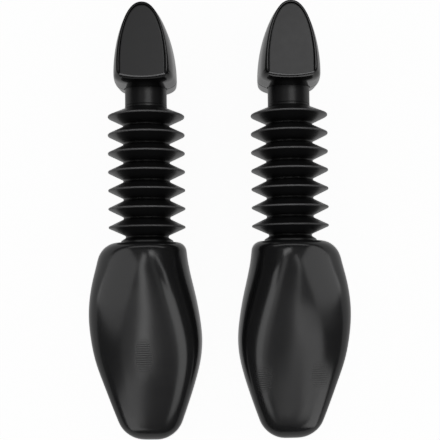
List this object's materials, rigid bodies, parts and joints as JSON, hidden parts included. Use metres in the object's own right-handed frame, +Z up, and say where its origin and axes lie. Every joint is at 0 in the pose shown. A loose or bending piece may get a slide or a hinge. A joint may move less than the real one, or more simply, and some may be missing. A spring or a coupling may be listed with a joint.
{
  "type": "shoe stretcher",
  "caption": "Pair of sprung shoe trees in black plastic: hollow toe forms, ribbed bellows that push back when squeezed, short necks and heel blocks with flat inlaid tops.",
  "frame": {"origin": "on the floor under the middle of the pair's bounding box", "axes": "+Z up from the soles, +Y from the toes to the heels, +X from the right tree to the left tree"},
  "size_m": [0.1744, 0.2842, 0.06],
  "materials": {
    "shell_plastic": "satin black",
    "bellows_plastic": "glossy black",
    "panel_plastic": "matt black",
    "inner_plastic": "as moulded",
    "screw_steel": "zinc plated"
  },
  "bodies": {
    "right_toe": {"right_toe_top_shell": "shell_plastic", "right_toe_bottom_shell": "shell_plastic", "right_toe_screw_1": "screw_steel", "right_toe_screw_2": "screw_steel", "right_toe_screw_3": "screw_steel", "right_support_ring": "inner_plastic", "right_bellows_toe_cuff": "bellows_plastic"},
    "right_bellows_toe_end": {"right_bellows_toe_folds": "bellows_plastic"},
    "right_bellows_heel_end": {"right_bellows_heel_folds": "bellows_plastic"},
    "right_heel": {"right_bellows_heel_cuff": "bellows_plastic", "right_neck_tube": "shell_plastic", "right_heel_top_shell": "shell_plastic", "right_heel_bottom_shell": "shell_plastic", "right_heel_panel": "panel_plastic", "right_heel_screw_1": "screw_steel", "right_heel_screw_2": "screw_steel"},
    "left_toe": {"left_toe_top_shell": "shell_plastic", "left_toe_bottom_shell": "shell_plastic", "left_toe_screw_1": "screw_steel", "left_toe_screw_2": "screw_steel", "left_toe_screw_3": "screw_steel", "left_support_ring": "inner_plastic", "left_bellows_toe_cuff": "bellows_plastic"},
    "left_bellows_toe_end": {"left_bellows_toe_folds": "bellows_plastic"},
    "left_bellows_heel_end": {"left_bellows_heel_folds": "bellows_plastic"},
    "left_heel": {"left_bellows_heel_cuff": "bellows_plastic", "left_neck_tube": "shell_plastic", "left_heel_top_shell": "shell_plastic", "left_heel_bottom_shell": "shell_plastic", "left_heel_panel": "panel_plastic", "left_heel_screw_1": "screw_steel", "left_heel_screw_2": "screw_steel"}
  },
  "joints": [
    {"name": "right_bellows_bend", "type": "hinge", "parent": "right_toe", "child": "right_bellows_toe_end", "pos_m": [-0.0473, 0.0028, 0.03], "axis": [1, 0, 0], "range_deg": [-10, 25], "stiffness_Nm_per_rad": 1.2, "deforming": ["right_bellows_toe_folds"]},
    {"name": "right_bellows_squeeze", "type": "slide", "parent": "right_bellows_toe_end", "child": "right_bellows_heel_end", "axis": [0, 1, 0], "range_m": [-0.02, 0.006], "stiffness_N_per_m": 900, "deforming": ["right_bellows_toe_folds", "right_bellows_heel_folds"]},
    {"name": "right_heel_swing", "type": "hinge", "parent": "right_bellows_heel_end", "child": "right_heel", "pos_m": [-0.0473, 0.0717, 0.03], "axis": [0, 0, 1], "range_deg": [-15, 15], "stiffness_Nm_per_rad": 1.2, "deforming": ["right_bellows_heel_folds"]},
    {"name": "pair_spacing", "type": "slide", "parent": "right_toe", "child": "left_toe", "axis": [1, 0, 0], "range_m": [0, 0.12]},
    {"name": "left_bellows_bend", "type": "hinge", "parent": "left_toe", "child": "left_bellows_toe_end", "pos_m": [0.0473, 0.0028, 0.03], "axis": [1, 0, 0], "range_deg": [-10, 25], "stiffness_Nm_per_rad": 1.2, "deforming": ["left_bellows_toe_folds"]},
    {"name": "left_bellows_squeeze", "type": "slide", "parent": "left_bellows_toe_end", "child": "left_bellows_heel_end", "axis": [0, 1, 0], "range_m": [-0.02, 0.006], "stiffness_N_per_m": 900, "deforming": ["left_bellows_toe_folds", "left_bellows_heel_folds"]},
    {"name": "left_heel_swing", "type": "hinge", "parent": "left_bellows_heel_end", "child": "left_heel", "pos_m": [0.0473, 0.0717, 0.03], "axis": [0, 0, 1], "range_deg": [-15, 15], "stiffness_Nm_per_rad": 1.2, "deforming": ["left_bellows_heel_folds"]}
  ]
}
